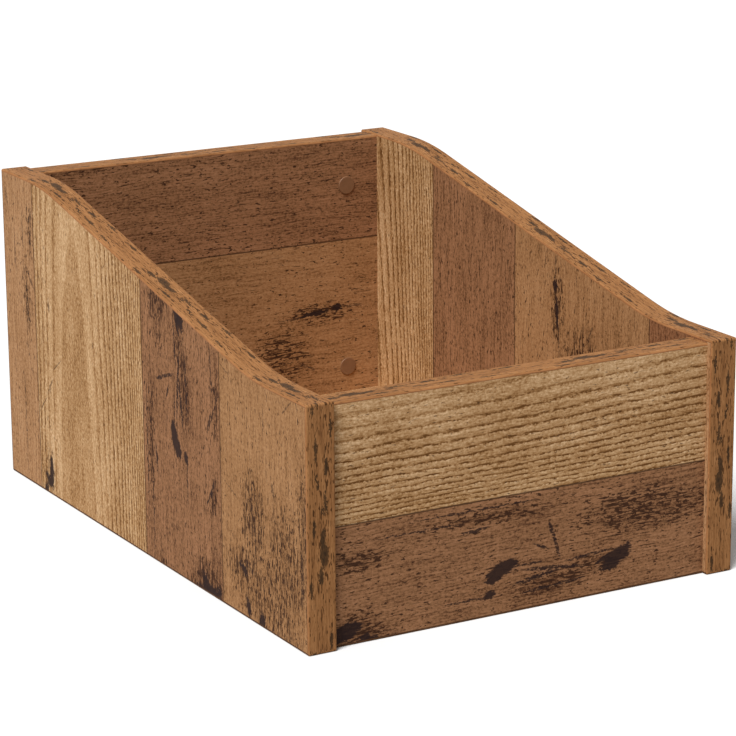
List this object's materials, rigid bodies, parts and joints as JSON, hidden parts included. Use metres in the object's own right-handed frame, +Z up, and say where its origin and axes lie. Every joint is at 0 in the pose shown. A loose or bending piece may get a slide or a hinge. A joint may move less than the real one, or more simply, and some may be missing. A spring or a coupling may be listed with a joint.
{
  "type": "record storage box",
  "caption": "Open-top storage box for vinyl records, with tall sides that slope down to a low front, made of thick edge-banded boards held by cam joints and dowels.",
  "frame": {"origin": "on the floor, under the middle of the box", "axes": "-Y towards the low front, +X to the right seen from the front, +Z up; the depth runs along Y and is the longest side"},
  "size_m": [0.4, 0.575, 0.285],
  "materials": {
    "old_wood_decor": "matt printed old-wood decor on chipboard",
    "edge_band": "matt printed edge band, 2 mm thick",
    "zinc_cam": "die-cast zinc, dull",
    "steel_bolt": "zinc-plated steel",
    "cap_plastic": "matt brown plastic",
    "beech_dowel": "plain beech"
  },
  "bodies": {
    "root": {"left_side_panel": "old_wood_decor", "left_side_top_band": "edge_band", "left_side_bottom_band": "edge_band", "left_side_front_band": "edge_band", "left_side_back_band": "edge_band", "right_side_panel": "old_wood_decor", "right_side_top_band": "edge_band", "right_side_bottom_band": "edge_band", "right_side_front_band": "edge_band", "right_side_back_band": "edge_band", "front_panel": "old_wood_decor", "front_panel_top_band": "edge_band", "front_panel_bottom_band": "edge_band", "back_panel": "old_wood_decor", "back_panel_top_band": "edge_band", "back_panel_bottom_band": "edge_band", "bottom_panel": "old_wood_decor", "cam_locks": "zinc_cam", "cam_bolts": "steel_bolt", "cam_cover_caps": "cap_plastic", "wooden_dowels": "beech_dowel"}
  },
  "joints": []
}
